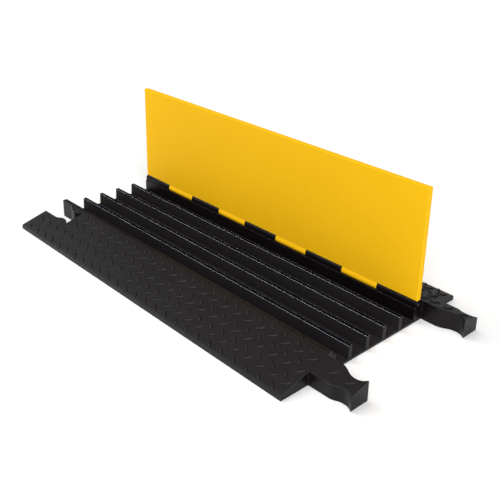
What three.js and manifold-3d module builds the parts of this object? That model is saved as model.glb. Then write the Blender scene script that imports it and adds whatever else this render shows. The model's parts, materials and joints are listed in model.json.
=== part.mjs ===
// Five-channel cable protector ramp with a hinged lid, lid standing open.
//
// Millimetres, +Z up. X runs along the cable channels, Y runs across them and
// Z is height above the floor. The origin is on the floor, in the middle of
// the overall length and width. The sockets are at the -X end, the connectors
// at the +X end, the free edge of the closed lid lies on the -Y side.
//
// The base and the lid are each one casting in rubbery plastic. Here each is
// divided into its working sections, with a hairline gap between neighbours.

import * as THREE from 'three';
import { mergeVertices } from 'three/addons/utils/BufferGeometryUtils.js';
import Module from 'manifold-3d';

const wasm = await Module();
wasm.setup();

// ---------------------------------------------------------------- dimensions

const GAP = 0.3; // between sections and between parts that touch

// The base: two ramps with five channels between them.
const BODY_LENGTH = 914.4;
const RAMP_WIDTH = 120;
const WALL_WIDTH = 20;
const CHANNEL_COUNT = 5;
const FIRST_CHANNEL = 38; // across, from the front wall to the first rib's top
const RIB_PITCH = 50.5;
const RIB_WIDTH = 8; // at the top
const RIB_DRAFT = 1; // how far each side leans out at the foot
const RIB_TOP = 32.7;
const FLOOR_THICKNESS = 4.5;

// The ramp's upper side: a blunt lip, one straight slope and a narrow crest.
const LIP_HEIGHT = 8;
const LIP_EASE = 3;
const SLOPE_FOOT = 11;
const CREST_HEIGHT = 44;
const CREST_START = 121;
const CREST_END = 129;
const LEDGE_START = 133.5;

// The connector in plan, a waisted peg, and the socket that takes it.
const CONNECTOR = {
  reach: 98,
  outerRoot: 69,
  innerRoot: 116.5,
  outerShoulder: 48,
  innerShoulder: 33,
  waist: 76,
  outerWaist: 76.5,
  innerWaist: 104,
  outerTip: 68,
  innerTip: 114,
};
const SOCKET_CLEARANCE = 1.4;

// The hinge along the rear wall, with the lid's tabs between fixed knuckles.
const HINGE_WALL_FRONT = 378.5;
const HINGE_Y = 389.5;
const HINGE_Z = 38.5;
const ROD_RADIUS = 3.175;
const BORE_RADIUS = 3.5;
const KNUCKLE_RADIUS = 8.7;
const TAB_RADIUS = 8.4;
const POCKET_FLOOR = 29.5;
const POCKET_FRONT = 380.5;
const TAB_COUNT = 4;
const TAB_LENGTH = 96;
const TAB_PITCH = 204.5;
const TAB_SIDE_CLEARANCE = 1.6;

// The lid, measured from the hinge axis. It is heavier on the outer side of
// the axis, so it leans on its stop when it stands open.
const LID_INNER = 5.5;
const LID_OUTER = 6.5;
const LID_EDGE = 9;
const LID_REACH = 254.8;
const LID_END_CLEARANCE = 0.6;

// ------------------------------------------------------------ derived values

const BODY_WIDTH = 2 * (RAMP_WIDTH + WALL_WIDTH) +
  FIRST_CHANNEL + (CHANNEL_COUNT - 1) * RIB_PITCH;
const CHANNELS_START = RAMP_WIDTH + WALL_WIDTH;
const REAR_RAMP_START = BODY_WIDTH - RAMP_WIDTH;
const OVERALL_LENGTH = BODY_LENGTH + CONNECTOR.reach;

// ------------------------------------------------------------------ finishes

const blackRubber = new THREE.MeshStandardMaterial({
  name: 'black_polyurethane', color: 0x201e1e, roughness: 0.55, metalness: 0,
});
const yellowRubber = new THREE.MeshStandardMaterial({
  name: 'yellow_polyurethane', color: 0xf0b41c, roughness: 0.45, metalness: 0,
});
const rodFibreglass = new THREE.MeshStandardMaterial({
  name: 'rod_fibreglass', color: 0x9c9a8e, roughness: 0.5, metalness: 0,
});

// ------------------------------------------------------------ shape builders

/** A flat outline through a list of [u, v] corners. */
function outline(corners) {
  return new THREE.Shape(corners.map(([u, v]) => new THREE.Vector2(u, v)));
}

/** An outline in Y and Z, swept along X from one station to another. */
function sweepAlongX(shape, fromX, toX) {
  const geometry = new THREE.ExtrudeGeometry(shape, {
    depth: toX - fromX, bevelEnabled: false, curveSegments: 8,
  });
  const turn = new THREE.Matrix4().makeBasis(
    new THREE.Vector3(0, 1, 0), new THREE.Vector3(0, 0, 1), new THREE.Vector3(1, 0, 0));
  geometry.applyMatrix4(turn);
  geometry.translate(fromX, 0, 0);
  return geometry;
}

/** An outline in X and Y, raised from one height to another. */
function raise(shape, fromZ, toZ) {
  const geometry = new THREE.ExtrudeGeometry(shape, {
    depth: toZ - fromZ, bevelEnabled: false, curveSegments: 10,
  });
  geometry.translate(0, 0, fromZ);
  return geometry;
}

/** A closed geometry as a solid that can be cut and joined. */
function toSolid(geometry) {
  const bare = geometry.clone();
  bare.deleteAttribute('normal');
  bare.deleteAttribute('uv');
  const merged = mergeVertices(bare, 1e-4);
  return new wasm.Manifold(new wasm.Mesh({
    numProp: 3,
    vertProperties: new Float32Array(merged.attributes.position.array),
    triVerts: new Uint32Array(merged.index.array),
  }));
}

/** A cut or joined solid as a geometry again. */
function toGeometry(solid) {
  const mesh = solid.getMesh();
  const geometry = new THREE.BufferGeometry();
  geometry.setAttribute('position', new THREE.BufferAttribute(mesh.vertProperties, 3));
  geometry.setIndex(new THREE.BufferAttribute(mesh.triVerts, 1));
  geometry.computeVertexNormals();
  return geometry;
}

/** The mirror image of a geometry in the lengthwise middle plane of the base. */
function mirrorAcross(geometry) {
  const mirrored = geometry.clone();
  mirrored.scale(1, -1, 1);
  mirrored.translate(0, BODY_WIDTH, 0);
  const index = mirrored.index.array;
  for (let i = 0; i < index.length; i += 3) {
    [index[i], index[i + 2]] = [index[i + 2], index[i]];
  }
  mirrored.computeVertexNormals();
  return mirrored;
}

/** A named mesh added to a group. */
function addPart(group, name, geometry, material) {
  const mesh = new THREE.Mesh(geometry, material);
  mesh.name = name;
  group.add(mesh);
  return mesh;
}

// --------------------------------------------------------- ramps, connectors

/** Height of the straight slope at a distance in from the ramp's outer edge. */
function slopeHeight(y) {
  const rise = (CREST_HEIGHT - SLOPE_FOOT) / (CREST_START - LIP_EASE);
  return Math.min(CREST_HEIGHT, SLOPE_FOOT + (y - LIP_EASE) * rise);
}

/** Cross-section of a ramp from its lip to the start of its wall. */
function rampSection(innerY) {
  return outline([
    [0, 0], [innerY, 0], [innerY, slopeHeight(innerY)],
    [LIP_EASE, SLOPE_FOOT], [0, LIP_HEIGHT],
  ]);
}

/** Plan of the waisted connector; the socket is the same plan grown a little. */
function connectorPlan(grow) {
  const c = CONNECTOR;
  const tip = c.reach + grow;
  const outerEase = (c.waist - c.outerShoulder) / 2;
  const innerEase = (c.waist - c.innerShoulder) / 2;
  const flareEase = (c.reach - c.waist) / 2;
  const plan = new THREE.Shape();
  plan.moveTo(-grow, c.outerRoot - grow);
  plan.lineTo(c.outerShoulder, c.outerRoot - grow);
  plan.bezierCurveTo(
    c.outerShoulder + outerEase, c.outerRoot - grow,
    c.waist - outerEase, c.outerWaist - grow,
    c.waist, c.outerWaist - grow);
  plan.bezierCurveTo(
    c.waist + flareEase, c.outerWaist - grow,
    tip - flareEase / 2, c.outerTip + flareEase / 2 - grow,
    tip, c.outerTip - grow);
  plan.lineTo(tip, c.innerTip + grow);
  plan.bezierCurveTo(
    tip - flareEase / 2, c.innerTip - flareEase / 2 + grow,
    c.waist + flareEase, c.innerWaist + grow,
    c.waist, c.innerWaist + grow);
  plan.bezierCurveTo(
    c.waist - innerEase, c.innerWaist + grow,
    c.innerShoulder + innerEase, c.innerRoot + grow,
    c.innerShoulder, c.innerRoot + grow);
  plan.lineTo(-grow, c.innerRoot + grow);
  plan.closePath();
  return plan;
}

/** The front ramp with its socket cut in at the -X end. */
function rampWithSocket() {
  const ramp = toSolid(sweepAlongX(rampSection(RAMP_WIDTH), 0, BODY_LENGTH));
  const socket = toSolid(raise(connectorPlan(SOCKET_CLEARANCE), -1, CREST_HEIGHT + 1));
  return toGeometry(ramp.subtract(socket));
}

/** The front connector, its top sloping on in line with the ramp. */
function connector() {
  const plan = toSolid(raise(connectorPlan(0), 0, CREST_HEIGHT));
  const slope = toSolid(sweepAlongX(rampSection(RAMP_WIDTH), GAP, CONNECTOR.reach));
  const peg = toGeometry(plan.intersect(slope));
  peg.translate(BODY_LENGTH, 0, 0);
  return peg;
}

/** The wall beside the first channel, with the ledge for the lid's free edge. */
function frontWallSection() {
  const outer = RAMP_WIDTH + GAP;
  return outline([
    [outer, 0], [CHANNELS_START, 0], [CHANNELS_START, RIB_TOP],
    [LEDGE_START, RIB_TOP], [CREST_END, CREST_HEIGHT],
    [CREST_START, CREST_HEIGHT], [outer, slopeHeight(outer)],
  ]);
}

/** A rectangle in Y and Z. */
function barSection(fromY, toY, fromZ, toZ) {
  return outline([[fromY, fromZ], [toY, fromZ], [toY, toZ], [fromY, toZ]]);
}

/** A divider rib: its sides lean in towards the top. */
function ribSection(front) {
  const back = front + RIB_WIDTH;
  const foot = FLOOR_THICKNESS + GAP;
  return outline([
    [front - RIB_DRAFT, foot], [back + RIB_DRAFT, foot], [back, RIB_TOP], [front, RIB_TOP],
  ]);
}

// -------------------------------------------------------------------- hinge

/** A bore for the rod, as a hole about the hinge axis. */
function rodBore() {
  const bore = new THREE.Path();
  bore.absarc(0, 0, BORE_RADIUS, 0, 2 * Math.PI, true);
  return bore;
}

/** The wall under the hinge: a trough for the barrels behind a low front lip. */
function hingeWallSection() {
  const back = REAR_RAMP_START - GAP;
  return outline([
    [HINGE_WALL_FRONT, 0], [back, 0], [back, POCKET_FLOOR], [POCKET_FRONT, POCKET_FLOOR],
    [POCKET_FRONT, RIB_TOP], [HINGE_WALL_FRONT, RIB_TOP],
  ]);
}

/** A fixed knuckle about the axis: round in front, a square stop behind. */
function knuckleSection() {
  const foot = POCKET_FLOOR + GAP - HINGE_Z;
  const back = REAR_RAMP_START - GAP - HINGE_Y;
  const section = new THREE.Shape();
  section.moveTo(-KNUCKLE_RADIUS, foot);
  section.lineTo(back, foot);
  section.lineTo(back, KNUCKLE_RADIUS);
  section.lineTo(0, KNUCKLE_RADIUS);
  section.absarc(0, 0, KNUCKLE_RADIUS, Math.PI / 2, Math.PI, false);
  section.closePath();
  section.holes.push(rodBore());
  return section;
}

/** A lid tab about the axis: a round barrel and a neck up to the panel. */
function tabSection() {
  const top = LID_EDGE - GAP;
  const cornerAngle = Math.atan2(top, -LID_INNER);
  const frontAngle = cornerAngle + Math.acos(TAB_RADIUS / Math.hypot(top, LID_INNER));
  const backAngle = Math.acos(LID_OUTER / TAB_RADIUS) + 2 * Math.PI;
  const section = new THREE.Shape();
  section.moveTo(-LID_INNER, top);
  section.absarc(0, 0, TAB_RADIUS, frontAngle, backAngle, false);
  section.lineTo(LID_OUTER, top);
  section.closePath();
  section.holes.push(rodBore());
  return section;
}

/** Start and end of each lid tab along X, evenly spaced about the middle. */
function tabSpans() {
  const firstMiddle = BODY_LENGTH / 2 - (TAB_COUNT - 1) / 2 * TAB_PITCH;
  return Array.from({ length: TAB_COUNT }, (_, i) => {
    const middle = firstMiddle + i * TAB_PITCH;
    return [middle - TAB_LENGTH / 2, middle + TAB_LENGTH / 2];
  });
}

/** Start and end of each fixed knuckle: the spaces that the tabs leave. */
function knuckleSpans() {
  const edges = tabSpans().flatMap(([from, to]) => [
    from - TAB_SIDE_CLEARANCE, to + TAB_SIDE_CLEARANCE,
  ]);
  const stations = [0, ...edges, BODY_LENGTH];
  return Array.from({ length: TAB_COUNT + 1 }, (_, i) => [
    stations[2 * i], stations[2 * i + 1],
  ]);
}

// ----------------------------------------------------------------- assembly

/** The base: ramps, walls, floor, ribs, connectors, knuckles and the rod. */
function buildBase() {
  const base = new THREE.Group();
  const ramp = rampWithSocket();
  const peg = connector();
  addPart(base, 'front_ramp', ramp, blackRubber);
  addPart(base, 'rear_ramp', mirrorAcross(ramp), blackRubber);
  addPart(base, 'front_connector', peg, blackRubber);
  addPart(base, 'rear_connector', mirrorAcross(peg), blackRubber);
  addPart(base, 'front_wall', sweepAlongX(frontWallSection(), 0, BODY_LENGTH), blackRubber);

  const floor = barSection(CHANNELS_START + GAP, HINGE_WALL_FRONT - GAP, 0, FLOOR_THICKNESS);
  addPart(base, 'channel_floor', sweepAlongX(floor, 0, BODY_LENGTH), blackRubber);
  for (let i = 0; i < CHANNEL_COUNT - 1; i += 1) {
    const rib = ribSection(CHANNELS_START + FIRST_CHANNEL + i * RIB_PITCH);
    addPart(base, `divider_rib_${i + 1}`, sweepAlongX(rib, 0, BODY_LENGTH), blackRubber);
  }

  addPart(base, 'hinge_wall', sweepAlongX(hingeWallSection(), 0, BODY_LENGTH), blackRubber);
  knuckleSpans().forEach(([from, to], i) => {
    const knuckle = sweepAlongX(knuckleSection(), from, to);
    const mesh = addPart(base, `base_knuckle_${i + 1}`, knuckle, blackRubber);
    mesh.position.set(0, HINGE_Y, HINGE_Z);
  });

  const rod = new THREE.CylinderGeometry(ROD_RADIUS, ROD_RADIUS, BODY_LENGTH - 2 * GAP, 24);
  const rodMesh = addPart(base, 'hinge_rod', rod, rodFibreglass);
  rodMesh.rotation.z = Math.PI / 2;
  rodMesh.position.set(BODY_LENGTH / 2, HINGE_Y, HINGE_Z);
  return base;
}

/** The lid about its hinge axis, standing up: a panel and its hinge tabs. */
function buildLid() {
  const lid = new THREE.Group();
  const section = barSection(-LID_INNER, LID_OUTER, LID_EDGE, LID_REACH);
  const panel = sweepAlongX(section, LID_END_CLEARANCE, BODY_LENGTH - LID_END_CLEARANCE);
  addPart(lid, 'lid_panel', panel, yellowRubber);
  tabSpans().forEach(([from, to], i) => {
    addPart(lid, `lid_tab_${i + 1}`, sweepAlongX(tabSection(), from, to), yellowRubber);
  });
  lid.position.set(0, HINGE_Y, HINGE_Z);
  return lid;
}

const rampAssembly = new THREE.Group();
rampAssembly.add(buildBase(), buildLid());
rampAssembly.position.set(-OVERALL_LENGTH / 2, -BODY_WIDTH / 2, 0);

const cableProtector = new THREE.Group();
cableProtector.add(rampAssembly);

export default cableProtector;
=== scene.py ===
"""Looks of a five-channel cable protector ramp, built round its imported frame.

Metres, +Z up. X runs along the cable channels, Y across them. The lid stands
open and turns down over the channels about the hinge rod.
"""

import json
import logging
import math
from collections.abc import Callable, Iterable
from dataclasses import dataclass, field
from enum import Enum

import bmesh
import bpy
from mathutils import Matrix, Quaternion, Vector


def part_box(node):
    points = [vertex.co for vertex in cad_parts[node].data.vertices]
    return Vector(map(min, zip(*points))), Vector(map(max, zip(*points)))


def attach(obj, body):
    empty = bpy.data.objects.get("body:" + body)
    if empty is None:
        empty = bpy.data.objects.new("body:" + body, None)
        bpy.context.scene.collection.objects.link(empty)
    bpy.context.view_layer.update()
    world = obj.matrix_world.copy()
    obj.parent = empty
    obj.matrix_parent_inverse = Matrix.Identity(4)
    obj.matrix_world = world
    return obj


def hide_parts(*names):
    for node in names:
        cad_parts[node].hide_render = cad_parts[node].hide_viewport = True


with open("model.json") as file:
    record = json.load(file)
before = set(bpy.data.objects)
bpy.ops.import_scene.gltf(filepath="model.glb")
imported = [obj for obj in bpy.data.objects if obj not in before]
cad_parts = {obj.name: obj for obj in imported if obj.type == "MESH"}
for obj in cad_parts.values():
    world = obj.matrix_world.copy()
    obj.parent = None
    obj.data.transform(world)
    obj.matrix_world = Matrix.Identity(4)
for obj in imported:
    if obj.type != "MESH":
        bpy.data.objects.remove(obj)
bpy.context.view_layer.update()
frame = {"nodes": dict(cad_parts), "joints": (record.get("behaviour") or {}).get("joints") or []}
HINGE_AXIS = tuple(frame["joints"][0]["pos_m"][1:])  # in Y and Z

MM = 0.001
WEAR_AND_HIGHLIGHT = "rubbed_and_highlight"  # the attribute that says how far each point of a piece is marked as worn edge and painted highlight
BORE_RADIUS = 3.5 * MM
BORE_SIDES = 24
Point = tuple[float, float]
Colour = tuple[float, float, float]
log = logging.getLogger("cable_protector")


def numbered(stem: str) -> list[str]:
    """The frame's nodes whose names start with a stem, in order."""
    return sorted(name for name in frame["nodes"] if name.startswith(stem))


# ------------------------------------------------------------ mesh workshop


class Facing(Enum):
    """Which plane a flat outline is drawn in, and so which way it is swept."""

    ALONG_X = "outline in Y and Z, swept along X"
    ALONG_Z = "outline in X and Y, raised along Z"


class Combining(Enum):
    """What a tool shape does to the shape that it is combined with."""

    JOIN = "UNION"
    CUT_AWAY = "DIFFERENCE"
    KEEP_COMMON = "INTERSECT"


def place_point(point: Point, station: float, facing: Facing) -> Vector:
    """Puts a point of an outline into space.

    Args:
        point: the point's two coordinates in the outline's plane.
        station: how far along the sweep direction the outline lies.
        facing: the plane that the outline is drawn in.

    Returns:
        The point in space.
    """
    if facing is Facing.ALONG_X:
        return Vector((station, point[0], point[1]))
    return Vector((point[0], point[1], station))


def sweep(bm: bmesh.types.BMesh, outline: list[Point], start: float, end: float,
          facing: Facing) -> None:
    """Adds a closed prism: an outline extruded from one station to another.

    Args:
        bm: the mesh to add it to.
        outline: the corners, in order round the outline.
        start: the station of the first end.
        end: the station of the other end.
        facing: the plane that the outline is drawn in.
    """
    corners = [bm.verts.new(place_point(p, start, facing)) for p in outline]
    cap = bm.faces.new(corners)
    swept = bmesh.ops.extrude_face_region(bm, geom=[cap], use_keep_orig=True)
    moved = [v for v in swept["geom"] if isinstance(v, bmesh.types.BMVert)]
    travel = place_point((0.0, 0.0), end - start, facing)
    bmesh.ops.translate(bm, verts=moved, vec=travel)
    shell = {f for v in corners + moved for f in v.link_faces}
    bmesh.ops.recalc_face_normals(bm, faces=list(shell))


def arc(centre: Point, radius: float, start_deg: float, end_deg: float,
        steps: int) -> list[Point]:
    """Points along an arc, both ends included.

    Args:
        centre: the arc's centre.
        radius: its radius.
        start_deg: the angle of its first point.
        end_deg: the angle of its last point.
        steps: how many straight pieces it has.

    Returns:
        The points in order.
    """
    turns = [math.radians(start_deg + (end_deg - start_deg) * i / steps)
             for i in range(steps + 1)]
    return [(centre[0] + radius * math.cos(t), centre[1] + radius * math.sin(t))
            for t in turns]


def curve(start: Point, pull: Point, push: Point, end: Point, steps: int) -> list[Point]:
    """Points along a cubic curve after its start, as far as its end.

    Args:
        start: where the curve leaves from, not repeated in the result.
        pull: the handle that it leaves towards.
        push: the handle that it arrives from.
        end: the last point.
        steps: how many points are returned.

    Returns:
        The points in order.
    """
    points = []
    for i in range(1, steps + 1):
        t = i / steps
        weights = ((1 - t) ** 3, 3 * t * (1 - t) ** 2, 3 * t * t * (1 - t), t ** 3)
        points.append(tuple(
            sum(w * p[axis] for w, p in zip(weights, (start, pull, push, end)))
            for axis in (0, 1)))
    return points


def make_object(name: str, bm: bmesh.types.BMesh) -> bpy.types.Object:
    """Turns a finished bmesh into an object at the origin and frees it.

    Args:
        name: the object's name.
        bm: the mesh, in its final place.

    Returns:
        The new object, linked to the scene.
    """
    mesh = bpy.data.meshes.new(name)
    bm.to_mesh(mesh)
    bm.free()
    made = bpy.data.objects.new(name, mesh)
    bpy.context.scene.collection.objects.link(made)
    return made


def prism_object(name: str, prisms: Iterable[tuple[list[Point], float, float, Facing]]
                 ) -> bpy.types.Object:
    """An object made of one or more swept outlines."""
    bm = bmesh.new()
    for outline, start, end, facing in prisms:
        sweep(bm, outline, start, end, facing)
    return make_object(name, bm)


def apply_modifiers(target: bpy.types.Object) -> None:
    """Bakes an object's modifiers into its mesh and removes them."""
    bpy.context.view_layer.update()
    graph = bpy.context.evaluated_depsgraph_get()
    baked = bpy.data.meshes.new_from_object(target.evaluated_get(graph))
    old = target.data
    target.modifiers.clear()
    target.data = baked
    bpy.data.meshes.remove(old)
    baked.name = target.name


def combine(target: bpy.types.Object, tool: bpy.types.Object, how: Combining) -> None:
    """Joins a tool to a target, or cuts with it, and removes the tool.

    Args:
        target: the object that changes.
        tool: the shape to join or cut with.
        how: what the tool does to the target.
    """
    step = target.modifiers.new("combine", "BOOLEAN")
    step.operation = how.value
    step.solver = "EXACT"
    step.object = tool
    apply_modifiers(target)
    bpy.data.objects.remove(tool)


def make_bore(start: float, end: float) -> bpy.types.Object:
    """The hole for the hinge rod, as a shape to cut with.

    Args:
        start: the hole's first end in X.
        end: its other end.

    Returns:
        A round bar as wide as the hole.
    """
    hole = arc(HINGE_AXIS, BORE_RADIUS, 0.0, 360.0, BORE_SIDES)[:-1]
    return prism_object("bore", [(hole, start, end, Facing.ALONG_X)])


def tidy_surface(target: bpy.types.Object, tolerance: float = 0.01 * MM,
                 flat_deg: float = 0.2) -> None:
    """Merges doubled points and clears the leftovers of cutting and joining.

    Args:
        target: the object to clear up.
        tolerance: how close two points are that count as one.
        flat_deg: the largest bend between faces that are made one.
    """
    bm = bmesh.new()
    bm.from_mesh(target.data)
    bmesh.ops.remove_doubles(bm, verts=bm.verts, dist=tolerance)
    bmesh.ops.dissolve_degenerate(bm, dist=tolerance, edges=bm.edges)
    bmesh.ops.dissolve_limit(bm, angle_limit=math.radians(flat_deg), verts=bm.verts,
                             edges=bm.edges)
    bmesh.ops.recalc_face_normals(bm, faces=bm.faces)
    bm.to_mesh(target.data)
    bm.free()


def mark_wear_and_highlight(target: bpy.types.Object, strengths: list[float]) -> None:
    """Stores how far each point of a piece is marked, as worn edge and as painted highlight, for
    its material to read.
    """
    marks = target.data.attributes.new(WEAR_AND_HIGHLIGHT, "FLOAT", "POINT")
    marks.data.foreach_set("value", strengths)


def smooth_with_creases(target: bpy.types.Object, crease_deg: float) -> None:
    """Shades an object smooth, apart from edges that bend more than the angle."""
    for face in target.data.polygons:
        face.use_smooth = True
    target.data.set_sharp_from_angle(angle=math.radians(crease_deg))


def round_edges(target: bpy.types.Object, width: float, segments: int = 3,
                angle_deg: float = 30.0) -> None:
    """Rounds an object's sharp edges and marks the roundings, which their finish paints lighter
    as worn edges and as painted highlights.

    Args:
        target: the object to round.
        width: how far the rounding reaches from each edge.
        segments: how many steps the rounding has.
        angle_deg: the smallest corner that counts as sharp.
    """
    target.data.materials.append(None)
    target.data.materials.append(None)
    rounding = target.modifiers.new("rounding", "BEVEL")
    rounding.width = width
    rounding.segments = segments
    rounding.limit_method = "ANGLE"
    rounding.angle_limit = math.radians(angle_deg)
    rounding.miter_outer = "MITER_ARC"
    rounding.material = 1
    apply_modifiers(target)
    # The roundings are marked in full: their finish paints them lighter, partly worn and partly
    # a painted highlight along each edge.
    strengths = [1.0] * len(target.data.vertices)
    for face in target.data.polygons:
        face.use_smooth = True
        if face.material_index == 0:
            for corner in face.vertices:
                strengths[corner] = 0.0
        face.material_index = 0
    mark_wear_and_highlight(target, strengths)
    target.data.materials.clear()
    weighting = target.modifiers.new("flat_faces_lead", "WEIGHTED_NORMAL")
    weighting.keep_sharp = True
    weighting.weight = 50


# ---------------------------------------------------------------- materials


class NodeSheet:
    """A short way to lay out shader nodes in a material or a group."""

    def __init__(self, tree: bpy.types.NodeTree) -> None:
        """Starts on a node tree, leaving what it holds."""
        self.tree = tree

    def add(self, kind: str, **settings: object) -> bpy.types.Node:
        """Adds a node and sets its properties and input values.

        Args:
            kind: the node's type name.
            settings: properties by name; inputs by name with spaces as underscores,
                a socket to link it or a value to set it.

        Returns:
            The new node.
        """
        node = self.tree.nodes.new(kind)
        for key, value in settings.items():
            if hasattr(node, key):
                setattr(node, key, value)
        for key, value in settings.items():
            socket = self.find_input(node, key)
            if socket is None:
                continue
            if isinstance(value, bpy.types.NodeSocket):
                self.tree.links.new(value, socket)
            elif not hasattr(node, key):
                socket.default_value = value
        return node

    def place(self) -> bpy.types.NodeSocket:
        """The piece's own coordinates."""
        return self.add("ShaderNodeTexCoord").outputs["Object"]

    def noise(self, place: bpy.types.NodeSocket, scale: float | bpy.types.NodeSocket,
              detail: float, roughness: float = 0.5) -> bpy.types.NodeSocket:
        """A noise pattern over the given coordinates, as a level about a half."""
        return self.add("ShaderNodeTexNoise", Vector=place, Scale=scale, Detail=detail,
                        Roughness=roughness).outputs["Fac"]

    def remap(self, level: bpy.types.NodeSocket, source: Point,
              target: Point = (0.0, 1.0)) -> bpy.types.NodeSocket:
        """Stretches a level from one range to another, held within its limits."""
        return self.add("ShaderNodeMapRange", in0=level, in1=source[0], in2=source[1],
                        in3=target[0], in4=target[1]).outputs["Result"]

    @staticmethod
    def find_input(node: bpy.types.Node, key: str) -> bpy.types.NodeSocket | None:
        """The input that a settings key names: a number after 'in', or a name."""
        if key.startswith("in") and key[2:].isdigit():
            return node.inputs[int(key[2:])]
        return node.inputs.get(key.replace("_", " "))


def new_material(name: str) -> tuple[bpy.types.Material, NodeSheet]:
    """Starts an empty material.

    Args:
        name: the material's name.

    Returns:
        The material, and a sheet to lay out its nodes.
    """
    material = bpy.data.materials.new(name)
    material.use_nodes = True
    material.node_tree.nodes.clear()
    return material, NodeSheet(material.node_tree)


def new_group(name: str, inputs: dict[str, tuple[str, object]],
              outputs: dict[str, str]) -> tuple[bpy.types.NodeTree, NodeSheet]:
    """Starts a shader node group with its sockets declared.

    Args:
        name: the group's name.
        inputs: socket name to its type and default value.
        outputs: socket name to its type.

    Returns:
        The group, and a sheet to lay out its nodes.
    """
    group = bpy.data.node_groups.new(name, "ShaderNodeTree")
    for label, (kind, value) in inputs.items():
        socket = group.interface.new_socket(label, in_out="INPUT", socket_type=kind)
        socket.default_value = value
    for label, kind in outputs.items():
        group.interface.new_socket(label, in_out="OUTPUT", socket_type=kind)
    return group, NodeSheet(group)


def build_mottle_group() -> bpy.types.NodeTree:
    """Cloudy variation of a casting: a wide mask, a fine mask and scattered specks.

    Returns:
        A group with inputs for the two sizes and outputs Cloud, Fine and Specks.
    """
    group, sheet = new_group(
        "casting_mottle",
        {"Cloud Scale": ("NodeSocketFloat", 6.0), "Fine Scale": ("NodeSocketFloat", 60.0)},
        {"Cloud": "NodeSocketFloat", "Fine": "NodeSocketFloat", "Specks": "NodeSocketFloat"})
    speck_scale, speck_peaks = 420.0, (0.66, 0.78)
    entry = sheet.add("NodeGroupInput")
    place = sheet.place()
    cloud = sheet.noise(place, entry.outputs["Cloud Scale"], detail=4.0, roughness=0.55)
    fine = sheet.noise(place, entry.outputs["Fine Scale"], detail=5.0, roughness=0.62)
    specks = sheet.remap(sheet.noise(place, speck_scale, detail=2.0), speck_peaks)
    sheet.add("NodeGroupOutput", Cloud=cloud, Fine=fine, Specks=specks)
    return group


def build_skin_group() -> bpy.types.NodeTree:
    """Surface of cast polyurethane: fine mould grain over slow waves, as a normal.

    Returns:
        A group with inputs Grain and Wave (depths) and the output Normal.
    """
    group, sheet = new_group(
        "casting_skin",
        {"Grain": ("NodeSocketFloat", 0.2), "Wave": ("NodeSocketFloat", 0.1)},
        {"Normal": "NodeSocketVector"})
    wave_scale, wave_depth = 22.0, 2 * MM
    grain_scale, grain_depth = 900.0, 0.25 * MM
    entry = sheet.add("NodeGroupInput")
    place = sheet.place()
    wave = sheet.noise(place, wave_scale, detail=2.0)
    grain = sheet.noise(place, grain_scale, detail=3.0, roughness=0.6)
    broad = sheet.add("ShaderNodeBump", Strength=entry.outputs["Wave"], Distance=wave_depth,
                      Height=wave)
    narrow = sheet.add("ShaderNodeBump", Strength=entry.outputs["Grain"],
                       Distance=grain_depth, Height=grain, Normal=broad.outputs["Normal"])
    sheet.add("NodeGroupOutput", Normal=narrow.outputs["Normal"])
    return group


def build_wear_and_highlight_group() -> bpy.types.NodeTree:
    """Worn edges and painted highlights: the marks that a piece carries, broken up by noise.

    Returns:
        A group with the inputs Strength and Break Up and the output Mask.
    """
    group, sheet = new_group(
        "worn_edge_and_highlight",
        {"Strength": ("NodeSocketFloat", 1.0), "Break Up": ("NodeSocketFloat", 0.5)},
        {"Mask": "NodeSocketFloat"})
    # The noise breaks the marked edges into the dashes of a painted highlight.
    rub_and_highlight_scale, rub_and_highlight_range = 230.0, (0.42, 0.58)
    entry = sheet.add("NodeGroupInput")
    marks = sheet.add("ShaderNodeAttribute", attribute_name=WEAR_AND_HIGHLIGHT, attribute_type="GEOMETRY")
    torn = sheet.remap(sheet.noise(sheet.place(), rub_and_highlight_scale, detail=3.0), rub_and_highlight_range)
    kept = sheet.add("ShaderNodeMix", data_type="FLOAT", in0=entry.outputs["Break Up"],
                     in2=1.0, in3=torn)
    shown = sheet.add("ShaderNodeMath", operation="MULTIPLY", in0=marks.outputs["Fac"],
                      in1=entry.outputs["Strength"])
    mask = sheet.add("ShaderNodeMath", operation="MULTIPLY", use_clamp=True,
                     in0=shown.outputs["Value"], in1=kept.outputs[0])
    sheet.add("NodeGroupOutput", Mask=mask.outputs["Value"])
    return group


@dataclass(frozen=True)
class EffectLibrary:
    """The node groups that the finishes share, each built once."""

    mottle: bpy.types.NodeTree = field(default_factory=build_mottle_group)
    skin: bpy.types.NodeTree = field(default_factory=build_skin_group)
    worn_edge_and_highlight: bpy.types.NodeTree = field(default_factory=build_wear_and_highlight_group)


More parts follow.
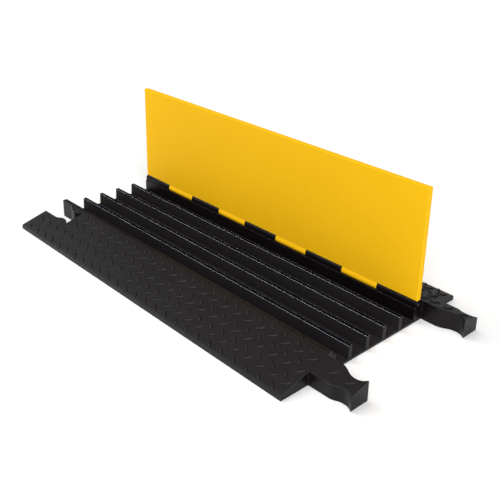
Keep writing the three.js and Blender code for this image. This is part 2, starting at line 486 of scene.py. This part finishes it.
@dataclass(frozen=True)
class CastFinish:
    """Cast polyurethane in one colour, with its cloudiness, grain, and worn edges painted
    lighter, partly as a painted highlight.
    """

    name: str
    base: Colour
    cloud: Colour
    rubbed_and_highlight: Colour
    roughness: float
    rub_and_highlight_roughness: float
    wave: float
    specular: float
    speck_share: float
    roughness_swing: float = 0.05
    grain: float = 0.3
    cloud_scale: float = 6.0
    cloud_range: Point = (0.35, 0.68)
    fine_scale: float = 60.0
    fine_range: Point = (0.3, 0.7)
    rub_and_highlight_strength: float = 1.0
    rub_and_highlight_break_up: float = 0.5

    def build(self, effects: EffectLibrary) -> bpy.types.Material:
        """Makes the material.

        Args:
            effects: the shared node groups.

        Returns:
            The material, with its Principled shader linked.
        """
        material, sheet = new_material(self.name)
        mottle = sheet.add("ShaderNodeGroup", node_tree=effects.mottle,
                           Cloud_Scale=self.cloud_scale, Fine_Scale=self.fine_scale)
        edge = sheet.add("ShaderNodeGroup", node_tree=effects.worn_edge_and_highlight,
                         Strength=self.rub_and_highlight_strength, Break_Up=self.rub_and_highlight_break_up)
        skin = sheet.add("ShaderNodeGroup", node_tree=effects.skin, Grain=self.grain,
                         Wave=self.wave)
        clouds = sheet.remap(mottle.outputs["Cloud"], self.cloud_range)
        body = sheet.add("ShaderNodeMix", data_type="RGBA", in0=clouds,
                         in6=(*self.base, 1.0), in7=(*self.cloud, 1.0))
        specks = sheet.add("ShaderNodeMath", operation="MULTIPLY",
                           in0=mottle.outputs["Specks"], in1=self.speck_share)
        # Specks and marked edges take the lighter colour: the specks are random tone, the edges
        # are worn and painted highlight.
        wear_and_highlight = sheet.add("ShaderNodeMath", operation="MAXIMUM", use_clamp=True,
                         in0=edge.outputs["Mask"], in1=specks.outputs["Value"])
        colour = sheet.add("ShaderNodeMix", data_type="RGBA", in0=wear_and_highlight.outputs["Value"],
                           in6=body.outputs[2], in7=(*self.rubbed_and_highlight, 1.0))
        swing = sheet.remap(mottle.outputs["Fine"], self.fine_range,
                            (self.roughness - self.roughness_swing,
                             self.roughness + self.roughness_swing))
        rough = sheet.add("ShaderNodeMix", data_type="FLOAT", in0=wear_and_highlight.outputs["Value"],
                          in2=swing, in3=self.rub_and_highlight_roughness)
        shader = sheet.add("ShaderNodeBsdfPrincipled", Base_Color=colour.outputs[2],
                           Roughness=rough.outputs[0], Normal=skin.outputs["Normal"])
        shader.inputs["Specular IOR Level"].default_value = self.specular
        sheet.add("ShaderNodeOutputMaterial", Surface=shader.outputs["BSDF"])
        return material


@dataclass(frozen=True)
class RodFinish:
    """Pultruded fibreglass: dark resin with fibres that run along the rod."""

    name: str = "rod_fibreglass"
    resin: Colour = (0.030, 0.029, 0.028)
    fibre: Colour = (0.070, 0.068, 0.062)
    stretch: tuple[float, float, float] = (20.0, 2600.0, 2600.0)
    strand_range: Point = (0.3, 0.7)
    roughness: Point = (0.38, 0.6)
    bump_strength: float = 0.3
    bump_depth: float = 0.1 * MM

    def build(self) -> bpy.types.Material:
        """Makes the material."""
        material, sheet = new_material(self.name)
        drawn = sheet.add("ShaderNodeMapping", Vector=sheet.place(), Scale=self.stretch)
        strands = sheet.noise(drawn.outputs["Vector"], 1.0, detail=3.0)
        colour = sheet.add("ShaderNodeMix", data_type="RGBA", in0=strands,
                           in6=(*self.resin, 1.0), in7=(*self.fibre, 1.0))
        rough = sheet.remap(strands, self.strand_range, self.roughness)
        bump = sheet.add("ShaderNodeBump", Strength=self.bump_strength,
                         Distance=self.bump_depth, Height=strands)
        shader = sheet.add("ShaderNodeBsdfPrincipled", Base_Color=colour.outputs[2],
                           Roughness=rough, Normal=bump.outputs["Normal"])
        sheet.add("ShaderNodeOutputMaterial", Surface=shader.outputs["BSDF"])
        return material


# -------------------------------------------------------------- tread lugs


@dataclass
class TreadLug:
    """One raised bar of the tread: a lens in plan with a rounded crown."""

    length: float = 23 * MM
    width: float = 6.4 * MM
    height: float = 2.0 * MM
    sunk: float = 0.6 * MM
    plan_scales: tuple[float, ...] = (1.1, 1.0, 0.86, 0.62)  # foot to crown
    flank_shares: Point = (0.15, 0.7)  # of the height, at the two middle levels
    # The marked ring below the crown is a painted highlight: the finish paints each lug's
    # shoulder lighter, as its glint.
    rubbed_and_highlight: tuple[float, ...] = (0.0, 0.0, 0.2, 0.0)  # foot to crown
    steps: int = 8

    def marks(self) -> list[float]:
        """How far each point of the lug is marked for its painted highlight, in the order of its
        mesh.
        """
        return [level for level in self.rubbed_and_highlight for _ in range(2 * self.steps)]

    def outline(self, scale: float, height: float) -> list[Vector]:
        """The lens at one level.

        Args:
            scale: how large it is, against the lug's full plan.
            height: how high the level lies over the ramp.

        Returns:
            Its corners in order, tip to tip and back.
        """
        half_length, half_width = self.length / 2 * scale, self.width / 2 * scale
        side = [(-1.0 + 2.0 * i / self.steps) for i in range(self.steps)]
        front = [(t * half_length, -half_width * (1 - t * t)) for t in side]
        back = [(-x, -y) for x, y in front]
        return [Vector((x, y, height)) for x, y in front + back]

    def build(self) -> bpy.types.Mesh:
        """Makes the lug lying along X, with its foot sunk below the surface."""
        bm = bmesh.new()
        flanks = [share * self.height for share in self.flank_shares]
        rings = []
        for scale, height in zip(self.plan_scales, [-self.sunk, *flanks, self.height]):
            ring = [bm.verts.new(corner) for corner in self.outline(scale, height)]
            rings.append([bm.edges.new((a, b)) for a, b in zip(ring, ring[1:] + ring[:1])])
        for lower, upper in zip(rings, rings[1:]):
            bmesh.ops.bridge_loops(bm, edges=lower + upper)
        bmesh.ops.holes_fill(bm, edges=rings[0] + rings[-1])
        bmesh.ops.recalc_face_normals(bm, faces=bm.faces)
        mesh = bpy.data.meshes.new("tread_lug")
        bm.to_mesh(mesh)
        bm.free()
        return mesh


@dataclass
class TreadField:
    """Lugs in a checkerboard, each at right angles to its neighbours."""

    lug: TreadLug = field(default_factory=TreadLug)
    pitch: float = 34.3 * MM
    row_pitch: float = 33.4 * MM
    lean_deg: float = 45.0
    crease_deg: float = 55.0

    def stamp(self, bm: bmesh.types.BMesh, lug_mesh: bpy.types.Mesh, place: Matrix,
              turned: bool) -> None:
        """Adds one lug.

        Args:
            bm: the mesh to add it to.
            lug_mesh: the lug lying along X at the origin.
            place: where it goes.
            turned: whether it leans to the left rather than the right.
        """
        before = len(bm.verts)
        bm.from_mesh(lug_mesh)
        bm.verts.ensure_lookup_table()
        lean = math.radians(-self.lean_deg if turned else self.lean_deg)
        bmesh.ops.transform(bm, matrix=place @ Matrix.Rotation(lean, 4, "Z"),
                            verts=bm.verts[before:])

    def dress(self, tread: bpy.types.Object, finish: bpy.types.Material) -> None:
        """Shades the lugs, marks the shoulders of their crowns with a painted highlight and
        gives them a finish.
        """
        smooth_with_creases(tread, self.crease_deg)
        marks = self.lug.marks()
        mark_wear_and_highlight(tread, marks * (len(tread.data.vertices) // len(marks)))
        tread.data.materials.append(finish)

    def cover(self, bm: bmesh.types.BMesh, columns: tuple[float, float],
              rows: tuple[float, float], first: Point,
              surface: Callable[[float, float], Matrix],
              allowed: Callable[[float, float], bool]) -> int:
        """Covers an area with lugs.

        Args:
            bm: the mesh to add them to.
            columns: the area's limits along the first direction.
            rows: its limits along the second direction.
            first: where one of the right-leaning lugs stands.
            surface: gives the placement of a lug at a spot.
            allowed: says whether a lug may stand at a spot.

        Returns:
            How many lugs were added.
        """
        lug_mesh = self.lug.build()
        half_u, half_v = self.pitch / 2, self.row_pitch / 2
        count = 0
        reach_u = math.ceil((columns[1] - columns[0]) / half_u) + 2
        reach_v = math.ceil((rows[1] - rows[0]) / half_v) + 2
        for i in range(-reach_u, reach_u + 1):
            for j in range(-reach_v, reach_v + 1):
                if (i + j) % 2:
                    continue
                u, v = first[0] + i * half_u, first[1] + j * half_v
                inside = columns[0] <= u <= columns[1] and rows[0] <= v <= rows[1]
                if inside and allowed(u, v):
                    self.stamp(bm, lug_mesh, surface(u, v), turned=bool(i % 2))
                    count += 1
        bpy.data.meshes.remove(lug_mesh)
        return count


# --------------------------------------------------------------- the base


@dataclass
class RampProfile:
    """The shape of a ramp's upper side, measured in from its outer edge."""

    lip_height: float = 8 * MM
    lip_ease: float = 3 * MM
    slope_foot: float = 11 * MM
    crest_height: float = 44 * MM
    crest_start: float = 121 * MM
    crest_end: float = 129 * MM
    ledge_start: float = 133.5 * MM

    @property
    def rise(self) -> float:
        """How much the slope climbs for each metre inwards."""
        return (self.crest_height - self.slope_foot) / (self.crest_start - self.lip_ease)

    def height(self, inward: float) -> float:
        """The slope's height at a distance in from the outer edge."""
        return min(self.crest_height, self.slope_foot + (inward - self.lip_ease) * self.rise)


@dataclass
class ConnectorPlan:
    """The waisted connector seen from above, from its root at the ramp's end."""

    reach: float = 98 * MM
    outer_root: float = 69 * MM
    inner_root: float = 116.5 * MM
    outer_shoulder: float = 48 * MM
    inner_shoulder: float = 33 * MM
    waist: float = 76 * MM
    outer_waist: float = 76.5 * MM
    inner_waist: float = 104 * MM
    outer_tip: float = 68 * MM
    inner_tip: float = 114 * MM
    steps: int = 10

    def side(self, root: float, shoulder: float, waist: float, tip_side: float, tip: float,
             grow: float) -> list[Point]:
        """One side of the plan, from its root to its tip.

        Args:
            root: the side's distance across at the root.
            shoulder: how far along the root runs straight.
            waist: the side's distance across at the waist.
            tip_side: its distance across at the tip.
            tip: how far along the tip lies.
            grow: how far the side is pushed outwards, signed.

        Returns:
            The points from the shoulder to the tip.
        """
        ease = (self.waist - shoulder) / 2
        flare = (tip - self.waist) / 2
        outwards = math.copysign(flare / 2, tip_side - waist)
        root, waist, tip_side = root + grow, waist + grow, tip_side + grow
        bend = curve((shoulder, root), (shoulder + ease, root), (self.waist - ease, waist),
                     (self.waist, waist), self.steps)
        splay = curve((self.waist, waist), (self.waist + flare, waist),
                      (tip - flare / 2, tip_side - outwards), (tip, tip_side), self.steps)
        return [(shoulder, root), *bend, *splay]

    def outline(self, grow: float) -> list[Point]:
        """The whole plan.

        Args:
            grow: clearance all round, nothing for the connector itself.

        Returns:
            The corners in order: along, then across from the outer edge.
        """
        tip = self.reach + grow
        outer = self.side(self.outer_root, self.outer_shoulder, self.outer_waist,
                          self.outer_tip, tip, -grow)
        inner = self.side(self.inner_root, self.inner_shoulder, self.inner_waist,
                          self.inner_tip, tip, grow)
        return [(0.0, self.outer_root - grow), *outer, *reversed(inner),
                (0.0, self.inner_root + grow)]


class BaseArea(Enum):
    """The areas of the black casting, by their material slots."""

    OUTSIDE = 0
    # The rib tops' finish paints their edge roundings near-white as a painted highlight.
    RIB_TOPS_PAINTED_HIGHLIGHT = 1
    # The channels' finish is a lightened copy of the black: painted light in their shade.
    CHANNELS = 2


@dataclass
class BaseCasting:
    """The black casting: ramps, channels, hinge knuckles, connectors, sockets."""

    profile: RampProfile = field(default_factory=RampProfile)
    connector: ConnectorPlan = field(default_factory=ConnectorPlan)
    socket_clearance: float = 1.4 * MM
    edge_rounding: float = 1.6 * MM
    knuckle_radius: float = 8.7 * MM
    barrel_steps: int = 14
    knuckle_sunk: float = 1 * MM
    knuckle_overlap: float = 0.5 * MM
    hinge_lip: float = 2 * MM
    rib_draft: float = 1 * MM
    cut_margin: float = 5 * MM

    def __post_init__(self) -> None:
        """Reads the sizes that the frame already holds."""
        ramp_low, ramp_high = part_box("front_ramp")
        rear_low, rear_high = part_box("rear_ramp")
        self.left, self.right = ramp_low.x, ramp_high.x
        self.front, self.rear = ramp_low.y, rear_high.y
        self.rear_ramp_start = rear_low.y
        self.floor_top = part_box("channel_floor")[1].z
        self.rib_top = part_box("divider_rib_1")[1].z
        self.channels_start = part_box("front_wall")[1].y
        self.hinge_wall_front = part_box("hinge_wall")[0].y
        self.knuckle_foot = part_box("base_knuckle_1")[0].z

    def section(self) -> list[Point]:
        """The cross-section from the front lip to the rear lip."""
        p = self.profile
        upper = [(self.front, 0.0), (self.front, p.lip_height),
                 (self.front + p.lip_ease, p.slope_foot),
                 (self.front + p.crest_start, p.crest_height),
                 (self.front + p.crest_end, p.crest_height),
                 (self.front + p.ledge_start, self.rib_top),
                 (self.channels_start, self.rib_top), (self.channels_start, self.floor_top)]
        for name in numbered("divider_rib_"):
            low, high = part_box(name)
            upper += [(low.y, self.floor_top), (low.y + self.rib_draft, self.rib_top),
                      (high.y - self.rib_draft, self.rib_top), (high.y, self.floor_top)]
        trough = self.knuckle_foot
        lip_back = self.hinge_wall_front + self.hinge_lip
        upper += [(self.hinge_wall_front, self.floor_top), (self.hinge_wall_front, self.rib_top),
                  (lip_back, self.rib_top), (lip_back, trough),
                  (self.rear_ramp_start, trough),
                  (self.rear_ramp_start, p.height(self.rear - self.rear_ramp_start)),
                  (self.rear - p.lip_ease, p.slope_foot), (self.rear, p.lip_height),
                  (self.rear, 0.0)]
        return upper

    def across(self, plan: list[Point], along: float, mirrored: bool) -> list[Point]:
        """A connector plan put in place in X and Y.

        Args:
            plan: points along and across from the outer edge.
            along: where the plan's root lies in X.
            mirrored: True on the rear ramp.

        Returns:
            The points in X and Y.
        """
        if mirrored:
            return [(along + u, self.rear - v) for u, v in plan]
        return [(along + u, self.front + v) for u, v in plan]

    def plan(self) -> list[Point]:
        """The outline from above: sockets at the left, connectors at the right.

        Returns:
            The corners in X and Y, wider than the ramps across, for cutting with.
        """
        socket = self.connector.outline(self.socket_clearance)
        plug = self.connector.outline(0.0)
        near, far = self.front - self.cut_margin, self.rear + self.cut_margin
        return [(self.left, near), (self.right, near),
                *self.across(plug, self.right, False),
                *reversed(self.across(plug, self.right, True)),
                (self.right, far), (self.left, far),
                *self.across(socket, self.left, True),
                *reversed(self.across(socket, self.left, False))]

    def knuckle_section(self) -> list[Point]:
        """A fixed knuckle: a round barrel in front and a square stop behind."""
        y, z = HINGE_AXIS
        foot = self.knuckle_foot - self.knuckle_sunk
        back = self.rear_ramp_start + self.knuckle_overlap
        barrel = arc((y, z), self.knuckle_radius, 90.0, 180.0, self.barrel_steps)
        return [(back, foot), (back, z + self.knuckle_radius), *barrel,
                (y - self.knuckle_radius, foot)]

    def make_knuckles(self) -> bpy.types.Object:
        """All the fixed knuckles, the outer two running on past the ends."""
        boxes = map(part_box, numbered("base_knuckle_"))
        spans = [[low.x, high.x] for low, high in boxes]
        spans[0][0] -= self.cut_margin
        spans[-1][1] += self.cut_margin
        return prism_object("knuckles", [
            (self.knuckle_section(), start, end, Facing.ALONG_X) for start, end in spans])

    def area(self, face: bpy.types.MeshPolygon) -> BaseArea:
        """Which area of the casting a face belongs to."""
        in_channels = self.channels_start < face.center.y < self.hinge_wall_front
        if not in_channels or abs(face.normal.x) > 0.5 or face.normal.z < -0.5:
            return BaseArea.OUTSIDE
        high = face.center.z > self.rib_top - 2 * self.edge_rounding
        return BaseArea.RIB_TOPS_PAINTED_HIGHLIGHT if high and face.normal.z > 0.1 else BaseArea.CHANNELS

    def dress(self, casting: bpy.types.Object,
              finishes: dict[BaseArea, bpy.types.Material]) -> None:
        """Gives each area of the casting its finish.

        Args:
            casting: the finished shape.
            finishes: the material of each area.
        """
        # The rib tops take a copy of the black with painted highlights on their edges; the
        # channels take a lightened copy, painted light in their shade.
        for area in BaseArea:
            casting.data.materials.append(finishes[area])
        for face in casting.data.polygons:
            face.material_index = self.area(face).value

    def build(self, finishes: dict[BaseArea, bpy.types.Material]) -> bpy.types.Object:
        """Makes the casting and dresses it.

        Args:
            finishes: the material of each area.

        Returns:
            The finished piece, riding on the base.
        """
        reach = self.connector.reach + 2 * self.cut_margin
        casting = prism_object("base_casting", [
            (self.section(), self.left - 2 * self.cut_margin, self.right + reach,
             Facing.ALONG_X)])
        combine(casting, self.make_knuckles(), Combining.JOIN)
        blank = prism_object("base_plan", [
            (self.plan(), -self.cut_margin, 2 * self.profile.crest_height, Facing.ALONG_Z)])
        combine(casting, blank, Combining.KEEP_COMMON)
        bore = make_bore(self.left - self.cut_margin, self.right + self.cut_margin)
        combine(casting, bore, Combining.CUT_AWAY)
        tidy_surface(casting)
        round_edges(casting, self.edge_rounding)
        self.dress(casting, finishes)
        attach(casting, "base")
        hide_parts("front_ramp", "rear_ramp", "front_wall", "hinge_wall",
                    "channel_floor", "front_connector", "rear_connector",
                    *numbered("divider_rib_"), *numbered("base_knuckle_"))
        return casting


@dataclass
class RampTread:
    """The raised tread on a ramp's slope and on its connector."""

    base: BaseCasting
    pattern: TreadField = field(default_factory=TreadField)
    first_row: float = 26.6 * MM
    first_column: float = 9.5 * MM
    border: float = 9 * MM
    end_border: float = 6 * MM
    socket_border: float = 11 * MM
    connector_row: float = 91 * MM
    front_connector_lugs: tuple[float, ...] = (36 * MM, 76 * MM)
    rear_connector_lugs: tuple[float, ...] = (12 * MM, 44 * MM, 78 * MM)

    def surface(self, mirrored: bool) -> Callable[[float, float], Matrix]:
        """How a lug sits on the slope: at its height and tilted with it.

        Args:
            mirrored: True on the rear ramp.

        Returns:
            A function from a spot, along X and in from the outer edge, to a place.
        """
        base, p = self.base, self.base.profile
        edge, sign = (base.rear, -1.0) if mirrored else (base.front, 1.0)
        tilt = Matrix.Rotation(math.atan(p.rise) * sign, 4, "X")

        def place(x: float, inward: float) -> Matrix:
            """The placement at one spot."""
            at = Vector((x, edge + sign * inward, p.height(inward)))
            return Matrix.Translation(at) @ tilt

        return place

    def allowed(self, x: float, inward: float) -> bool:
        """Whether a lug fits there, clear of the socket and the ends."""
        base, c = self.base, self.base.connector
        along = x - base.left
        near_socket = along < c.reach + self.end_border
        beside_socket = inward > c.outer_tip - self.socket_border
        return not (near_socket and beside_socket)

    def build(self, name: str, mirrored: bool, finish: bpy.types.Material) -> bpy.types.Object:
        """Makes the tread of one ramp.

        Args:
            name: the piece's name.
            mirrored: True on the rear ramp.
            finish: the material that the lugs share with the casting.

        Returns:
            The finished piece, riding on the base.
        """
        base, p = self.base, self.base.profile
        bm = bmesh.new()
        count = self.pattern.cover(
            bm,
            columns=(base.left + self.end_border, base.right - self.end_border),
            rows=(self.border, p.crest_start - self.border),
            first=(base.left + self.first_column, self.first_row),
            surface=self.surface(mirrored), allowed=self.allowed)
        lug_mesh = self.pattern.lug.build()
        for past in self.rear_connector_lugs if mirrored else self.front_connector_lugs:
            place = self.surface(mirrored)(base.right + past, self.connector_row)
            self.pattern.stamp(bm, lug_mesh, place, turned=False)
        bpy.data.meshes.remove(lug_mesh)
        tread = make_object(name, bm)
        self.pattern.dress(tread, finish)
        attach(tread, "base")
        log.info("%s: %d lugs", name, count)
        return tread


# ---------------------------------------------------------------- the lid


@dataclass
class LidCasting:
    """The yellow casting: a flat panel with barrels that turn on the rod."""

    tab_radius: float = 8.4 * MM
    edge_rounding: float = 1.1 * MM
    barrel_steps: int = 20
    root_overlap: float = 3 * MM
    tread_border: float = 13 * MM

    def __post_init__(self) -> None:
        """Reads the sizes that the frame already holds."""
        self.low, self.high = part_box("lid_panel")

    def tab_section(self) -> list[Point]:
        """A tab: its barrel about the rod and its neck up into the panel."""
        y, z = HINGE_AXIS
        inner, outer = self.low.y - y, self.high.y - y
        edge = self.low.z - z
        corner = math.atan2(edge, inner)
        front = corner + math.acos(self.tab_radius / math.hypot(edge, inner))
        back = math.acos(outer / self.tab_radius) + 2 * math.pi
        barrel = arc(HINGE_AXIS, self.tab_radius, math.degrees(front), math.degrees(back),
                     self.barrel_steps)
        top = self.low.z + self.root_overlap
        return [(self.low.y, top), (self.low.y, self.low.z), *barrel, (self.high.y, top)]

    def build(self, finish: bpy.types.Material) -> bpy.types.Object:
        """Makes the casting and dresses it.

        Args:
            finish: the yellow casting material.

        Returns:
            The finished piece, riding on the lid.
        """
        low, high = self.low, self.high
        panel = [(low.y, low.z), (high.y, low.z), (high.y, high.z), (low.y, high.z)]
        casting = prism_object("lid_casting", [(panel, low.x, high.x, Facing.ALONG_X)])
        spans = [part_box(name) for name in numbered("lid_tab_")]
        tabs = prism_object("tabs", [
            (self.tab_section(), a.x, b.x, Facing.ALONG_X) for a, b in spans])
        combine(casting, tabs, Combining.JOIN)
        combine(casting, make_bore(low.x, high.x), Combining.CUT_AWAY)
        tidy_surface(casting)
        round_edges(casting, self.edge_rounding)
        casting.data.materials.append(finish)
        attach(casting, "lid")
        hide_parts("lid_panel", *numbered("lid_tab_"))
        return casting

    def build_tread(self, pattern: TreadField, finish: bpy.types.Material) -> bpy.types.Object:
        """Makes the raised tread on the lid's outer side.

        Args:
            pattern: the lug pattern that the ramps use too.
            finish: the yellow casting material.

        Returns:
            The finished piece, riding on the lid.
        """
        outer = self.high.y
        stand = Matrix.Rotation(math.radians(-90.0), 4, "X")

        def place(x: float, height: float) -> Matrix:
            """The placement at one spot on the upright outer face."""
            return Matrix.Translation(Vector((x, outer, height))) @ stand

        bm = bmesh.new()
        middle = ((self.low.x + self.high.x) / 2, (self.low.z + self.high.z) / 2)
        count = pattern.cover(
            bm,
            columns=(self.low.x + self.tread_border, self.high.x - self.tread_border),
            rows=(self.low.z + self.tread_border, self.high.z - self.tread_border),
            first=(middle[0] + pattern.pitch / 4, middle[1]), surface=place,
            allowed=lambda u, v: True)
        tread = make_object("lid_tread", bm)
        pattern.dress(tread, finish)
        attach(tread, "lid")
        log.info("lid_tread: %d lugs", count)
        return tread


@dataclass
class HingeRod:
    """The rod through all the knuckles and tabs, its ends lightly chamfered."""

    chamfer: float = 0.6 * MM
    segments: int = 32
    rim_deg: float = 60.0
    crease_deg: float = 40.0

    def build(self, finish: bpy.types.Material) -> bpy.types.Object:
        """Makes the rod in the frame rod's place.

        Args:
            finish: the fibreglass material.

        Returns:
            The finished piece, riding on the base.
        """
        low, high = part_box("hinge_rod")
        radius = (high.y - low.y) / 2
        centre = (low + high) / 2
        bm = bmesh.new()
        bmesh.ops.create_cone(bm, cap_ends=True, segments=self.segments, radius1=radius,
                              radius2=radius, depth=high.x - low.x)
        rims = [e for e in bm.edges if e.calc_face_angle(0.0) > math.radians(self.rim_deg)]
        bmesh.ops.bevel(bm, geom=rims, offset=self.chamfer, segments=2, profile=0.5,
                        affect="EDGES", material=-1)
        turn = Matrix.Rotation(math.radians(90.0), 4, "Y")
        bmesh.ops.transform(bm, matrix=Matrix.Translation(centre) @ turn, verts=bm.verts)
        rod = make_object("hinge_pin", bm)
        smooth_with_creases(rod, self.crease_deg)
        rod.data.materials.append(finish)
        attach(rod, "base")
        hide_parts("hinge_rod")
        return rod


# ---------------------------------------------------------------- the studio


def direction(azimuth_deg: float, elevation_deg: float) -> Vector:
    """Points from the ramp outwards.

    Args:
        azimuth_deg: the turn from the front towards the right.
        elevation_deg: the angle above the floor.

    Returns:
        A unit vector.
    """
    a, e = math.radians(azimuth_deg), math.radians(elevation_deg)
    return Vector((math.sin(a) * math.cos(e), -math.cos(a) * math.cos(e), math.sin(e)))


@dataclass(frozen=True)
class Lamp:
    """A far, soft lamp: where it stands, how strong it is and how wide it looks."""

    name: str
    azimuth_deg: float
    elevation_deg: float
    strength: float
    spread_deg: float

    def build(self) -> None:
        """Puts the lamp in the scene."""
        data = bpy.data.lights.new(self.name, "SUN")
        data.energy = self.strength
        data.angle = math.radians(self.spread_deg)
        lamp = bpy.data.objects.new(self.name, data)
        bpy.context.scene.collection.objects.link(lamp)
        towards = direction(self.azimuth_deg, self.elevation_deg)
        lamp.rotation_mode = "QUATERNION"
        lamp.rotation_quaternion = (-towards).to_track_quat("-Z", "Y")


@dataclass
class Studio:
    """Camera, floor and soft lights."""

    camera_place: tuple[float, float, float] = (1.1732, -1.0595, 0.8518)
    azimuth_deg: float = 46.80
    elevation_deg: float = 22.575
    roll_deg: float = 1.064
    lens_mm: float = 56.5
    shift_down: float = 0.12
    clip_end: float = 50.0
    floor_size: float = 14.0
    floor_white: float = 0.93
    floor_roughness: float = 0.9
    floor_specular: float = 0.1
    sky_strength: float = 0.05
    lamps: tuple[Lamp, ...] = (
        Lamp("overhead_lamp", -60.0, 76.0, 1.35, 50.0),
        Lamp("right_lamp", 48.0, 32.0, 3.0, 60.0),
        Lamp("left_lamp", -74.0, 38.0, 0.9, 40.0))

    def add_camera(self) -> None:
        """Creates the camera and makes it the scene's."""
        data = bpy.data.cameras.new("camera")
        data.lens = self.lens_mm
        data.shift_y = -self.shift_down
        data.clip_end = self.clip_end
        camera = bpy.data.objects.new("camera", data)
        bpy.context.scene.collection.objects.link(camera)
        back = direction(self.azimuth_deg, self.elevation_deg)
        roll = Quaternion((0.0, 0.0, 1.0), math.radians(self.roll_deg))
        camera.rotation_mode = "QUATERNION"
        camera.rotation_quaternion = (-back).to_track_quat("-Z", "Y") @ roll
        camera.location = self.camera_place
        bpy.context.scene.camera = camera

    def add_floor(self) -> None:
        """Lays a plain white floor under the ramp."""
        bm = bmesh.new()
        bmesh.ops.create_grid(bm, x_segments=1, y_segments=1, size=self.floor_size / 2)
        floor = make_object("floor", bm)
        paint = bpy.data.materials.new("floor_white")
        paint.use_nodes = True
        shader = paint.node_tree.nodes["Principled BSDF"]
        shader.inputs["Base Color"].default_value = (*[self.floor_white] * 3, 1.0)
        shader.inputs["Roughness"].default_value = self.floor_roughness
        shader.inputs["Specular IOR Level"].default_value = self.floor_specular
        floor.data.materials.append(paint)

    def add_sky(self) -> None:
        """Sets a white surround that lights and reflects less than it shows."""
        world = bpy.data.worlds.new("studio")
        bpy.context.scene.world = world
        world.use_nodes = True
        world.node_tree.nodes.clear()
        sheet = NodeSheet(world.node_tree)
        shown = sheet.add("ShaderNodeLightPath").outputs["Is Camera Ray"]
        level = sheet.remap(shown, (0.0, 1.0), (self.sky_strength, 1.0))
        backdrop = sheet.add("ShaderNodeBackground", Color=(1.0, 1.0, 1.0, 1.0),
                             Strength=level)
        sheet.add("ShaderNodeOutputWorld", Surface=backdrop.outputs["Background"])

    def build(self) -> None:
        """Sets up the whole studio."""
        bpy.context.scene.view_settings.view_transform = "Standard"
        self.add_camera()
        self.add_floor()
        self.add_sky()
        for lamp in self.lamps:
            lamp.build()


# ---------------------------------------------------------------- finishes


# The lighter edge colour is partly worn edges and partly a painted highlight: the thin light
# lines along the lips, crests and connector edges.
BLACK_CASTING = CastFinish(
    name="base_rubber", base=(0.0036, 0.0022, 0.0029), cloud=(0.0056, 0.0039, 0.0047),
    rubbed_and_highlight=(0.15, 0.14, 0.14), roughness=0.38, rub_and_highlight_roughness=0.24, wave=0.06,
    specular=0.185, rub_and_highlight_break_up=0.55, speck_share=0.12)

# Painted highlight: the edge roundings of the rib tops are painted near-white, three times as
# strongly and barely broken, as the thin bright lines along the ribs.
RIB_TOPS_PAINTED_HIGHLIGHT = CastFinish(
    name="base_rubber_rib_tops", base=(0.0030, 0.0028, 0.0044), cloud=(0.0040, 0.0037, 0.0054),
    rubbed_and_highlight=(0.88, 0.89, 0.95), roughness=0.5, rub_and_highlight_roughness=0.22, wave=0.04,
    specular=0.0, rub_and_highlight_strength=3.0, rub_and_highlight_break_up=0.08, speck_share=0.001)

# Painted light: the rib sides and channel floors are the black lightened several times over,
# standing in for the light that the crest and the ribs keep out of the channels.
CHANNEL_WALLS_PAINTED_LIGHT = CastFinish(
    name="base_rubber_channels", base=(0.0165, 0.0146, 0.0160), cloud=(0.0190, 0.0166, 0.0184),
    rubbed_and_highlight=(0.019, 0.017, 0.018), roughness=0.55, rub_and_highlight_roughness=0.5, wave=0.04,
    specular=0.03, rub_and_highlight_break_up=0.3, speck_share=0.1)

YELLOW_CASTING = CastFinish(
    name="lid_rubber", base=(0.91, 0.500, 0.009), cloud=(0.89, 0.488, 0.009),
    rubbed_and_highlight=(0.92, 0.58, 0.012), roughness=0.5, roughness_swing=0.03,
    rub_and_highlight_roughness=0.42, grain=0.10, wave=0.03, specular=0.04, speck_share=0.03)


def main() -> None:
    """Builds the ramp and its studio, in order, and reports each piece."""
    logging.basicConfig(level=logging.INFO, format="%(message)s")
    Studio().build()
    effects = EffectLibrary()
    black = BLACK_CASTING.build(effects)
    finishes = {BaseArea.OUTSIDE: black, BaseArea.RIB_TOPS_PAINTED_HIGHLIGHT: RIB_TOPS_PAINTED_HIGHLIGHT.build(effects),
                BaseArea.CHANNELS: CHANNEL_WALLS_PAINTED_LIGHT.build(effects)}
    yellow = YELLOW_CASTING.build(effects)
    base = BaseCasting()
    log.info("base: %d polygons", len(base.build(finishes).data.polygons))
    tread = RampTread(base)
    tread.build("front_tread", mirrored=False, finish=black)
    tread.build("rear_tread", mirrored=True, finish=black)
    lid = LidCasting()
    log.info("lid: %d polygons", len(lid.build(yellow).data.polygons))
    lid.build_tread(tread.pattern, yellow)
    log.info("rod: %d polygons", len(HingeRod().build(RodFinish().build()).data.polygons))


if __name__ == "__main__":
    main()
